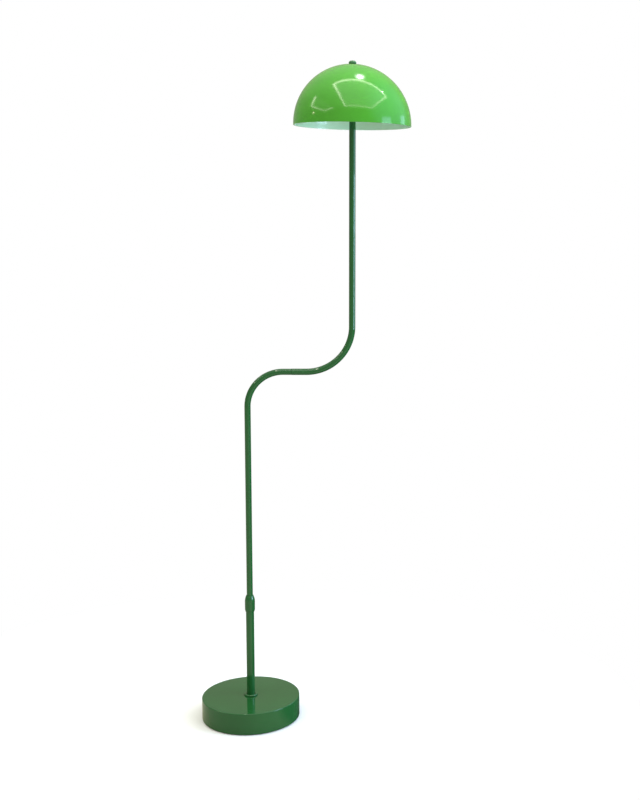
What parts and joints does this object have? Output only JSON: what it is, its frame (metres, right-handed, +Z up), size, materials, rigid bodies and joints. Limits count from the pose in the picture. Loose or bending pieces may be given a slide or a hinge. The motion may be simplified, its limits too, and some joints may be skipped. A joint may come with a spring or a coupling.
{
  "type": "adjustable arm floor lamp",
  "caption": "Floor lamp with a weighted drum foot, a telescopic stem, a swivelling stepped arm and a glossy dome shade facing down.",
  "frame": {"origin": "centre of the felt under the foot, on the floor", "axes": "+Z up along the stem; the arm steps sideways along +X; the cable inlet is at the back, +Y"},
  "size_m": [0.509, 0.276, 1.6004],
  "materials": {
    "green_enamel": "high gloss enamel",
    "felt": "pressed felt",
    "galvanised_steel": "zinc plated",
    "cast_iron": "as cast, lacquered",
    "brass": "machined",
    "white_nylon": "natural nylon",
    "black_rubber": "moulded",
    "lead_sheath": "PVC sheath",
    "holder_white": "moulded",
    "ceramic": "glazed",
    "opal_glass": "opal",
    "bulb_metal": "rolled",
    "harp_steel": "nickel plated",
    "shade_green": "polished acrylic",
    "shade_white": "white acrylic inner layer"
  },
  "bodies": {
    "base": {"base_felt": "felt", "base_plate": "galvanised_steel", "plate_screws": "galvanised_steel", "base_weight": "cast_iron", "base_cover": "green_enamel", "cable_grommet": "black_rubber", "terminal_block": "white_nylon", "cord_clamp": "white_nylon", "clamp_screws": "galvanised_steel", "foot_ring": "green_enamel", "stem_rod": "galvanised_steel", "stem_washer": "galvanised_steel", "stem_nut": "galvanised_steel", "stem_plug": "galvanised_steel", "stem_tube": "green_enamel", "clamp_bush": "brass", "collet": "white_nylon", "base_lead": "lead_sheath"},
    "collar": {"collar_nut": "green_enamel"},
    "guide": {"guide_bush": "white_nylon"},
    "lower_arm": {"lower_arm_tube": "green_enamel", "retaining_clips": "galvanised_steel", "lower_plug": "galvanised_steel", "pivot_nipple": "galvanised_steel", "swivel_washer": "white_nylon", "stop_pin": "galvanised_steel", "pivot_washer": "galvanised_steel", "pivot_nut": "galvanised_steel", "lower_lead": "lead_sheath"},
    "upper_arm": {"upper_plug": "galvanised_steel", "upper_lead": "lead_sheath", "upper_arm_tube": "green_enamel", "top_plug": "galvanised_steel", "holder_nipple": "galvanised_steel", "harp_saddle": "harp_steel", "lampholder_cap": "holder_white", "lampholder_shell": "holder_white", "contact_insert": "ceramic", "screw_sleeve": "brass", "centre_contact": "brass", "bulb_cap": "bulb_metal", "bulb_globe": "opal_glass", "harp": "harp_steel", "shade_seat": "harp_steel", "shade": "shade_green", "shade_lining": "shade_white", "knob_washer": "black_rubber", "finial_knob": "green_enamel"}
  },
  "joints": [
    {"name": "collar_turn", "type": "hinge", "parent": "base", "child": "collar", "pos_m": [0, 0, 0.298], "axis": [0, 0, 1], "range_deg": [0, 180]},
    {"name": "height_slide", "type": "slide", "parent": "base", "child": "guide", "axis": [0, 0, 1], "range_m": [0, 0.135]},
    {"name": "arm_swivel", "type": "hinge", "parent": "guide", "child": "lower_arm", "pos_m": [0, 0, 0.3], "axis": [0, 0, 1], "range_deg": [-170, 170]},
    {"name": "arm_tilt", "type": "hinge", "parent": "lower_arm", "child": "upper_arm", "pos_m": [0.105, 0, 0.87], "axis": [1, 0, 0], "range_deg": [-90, 90]}
  ]
}
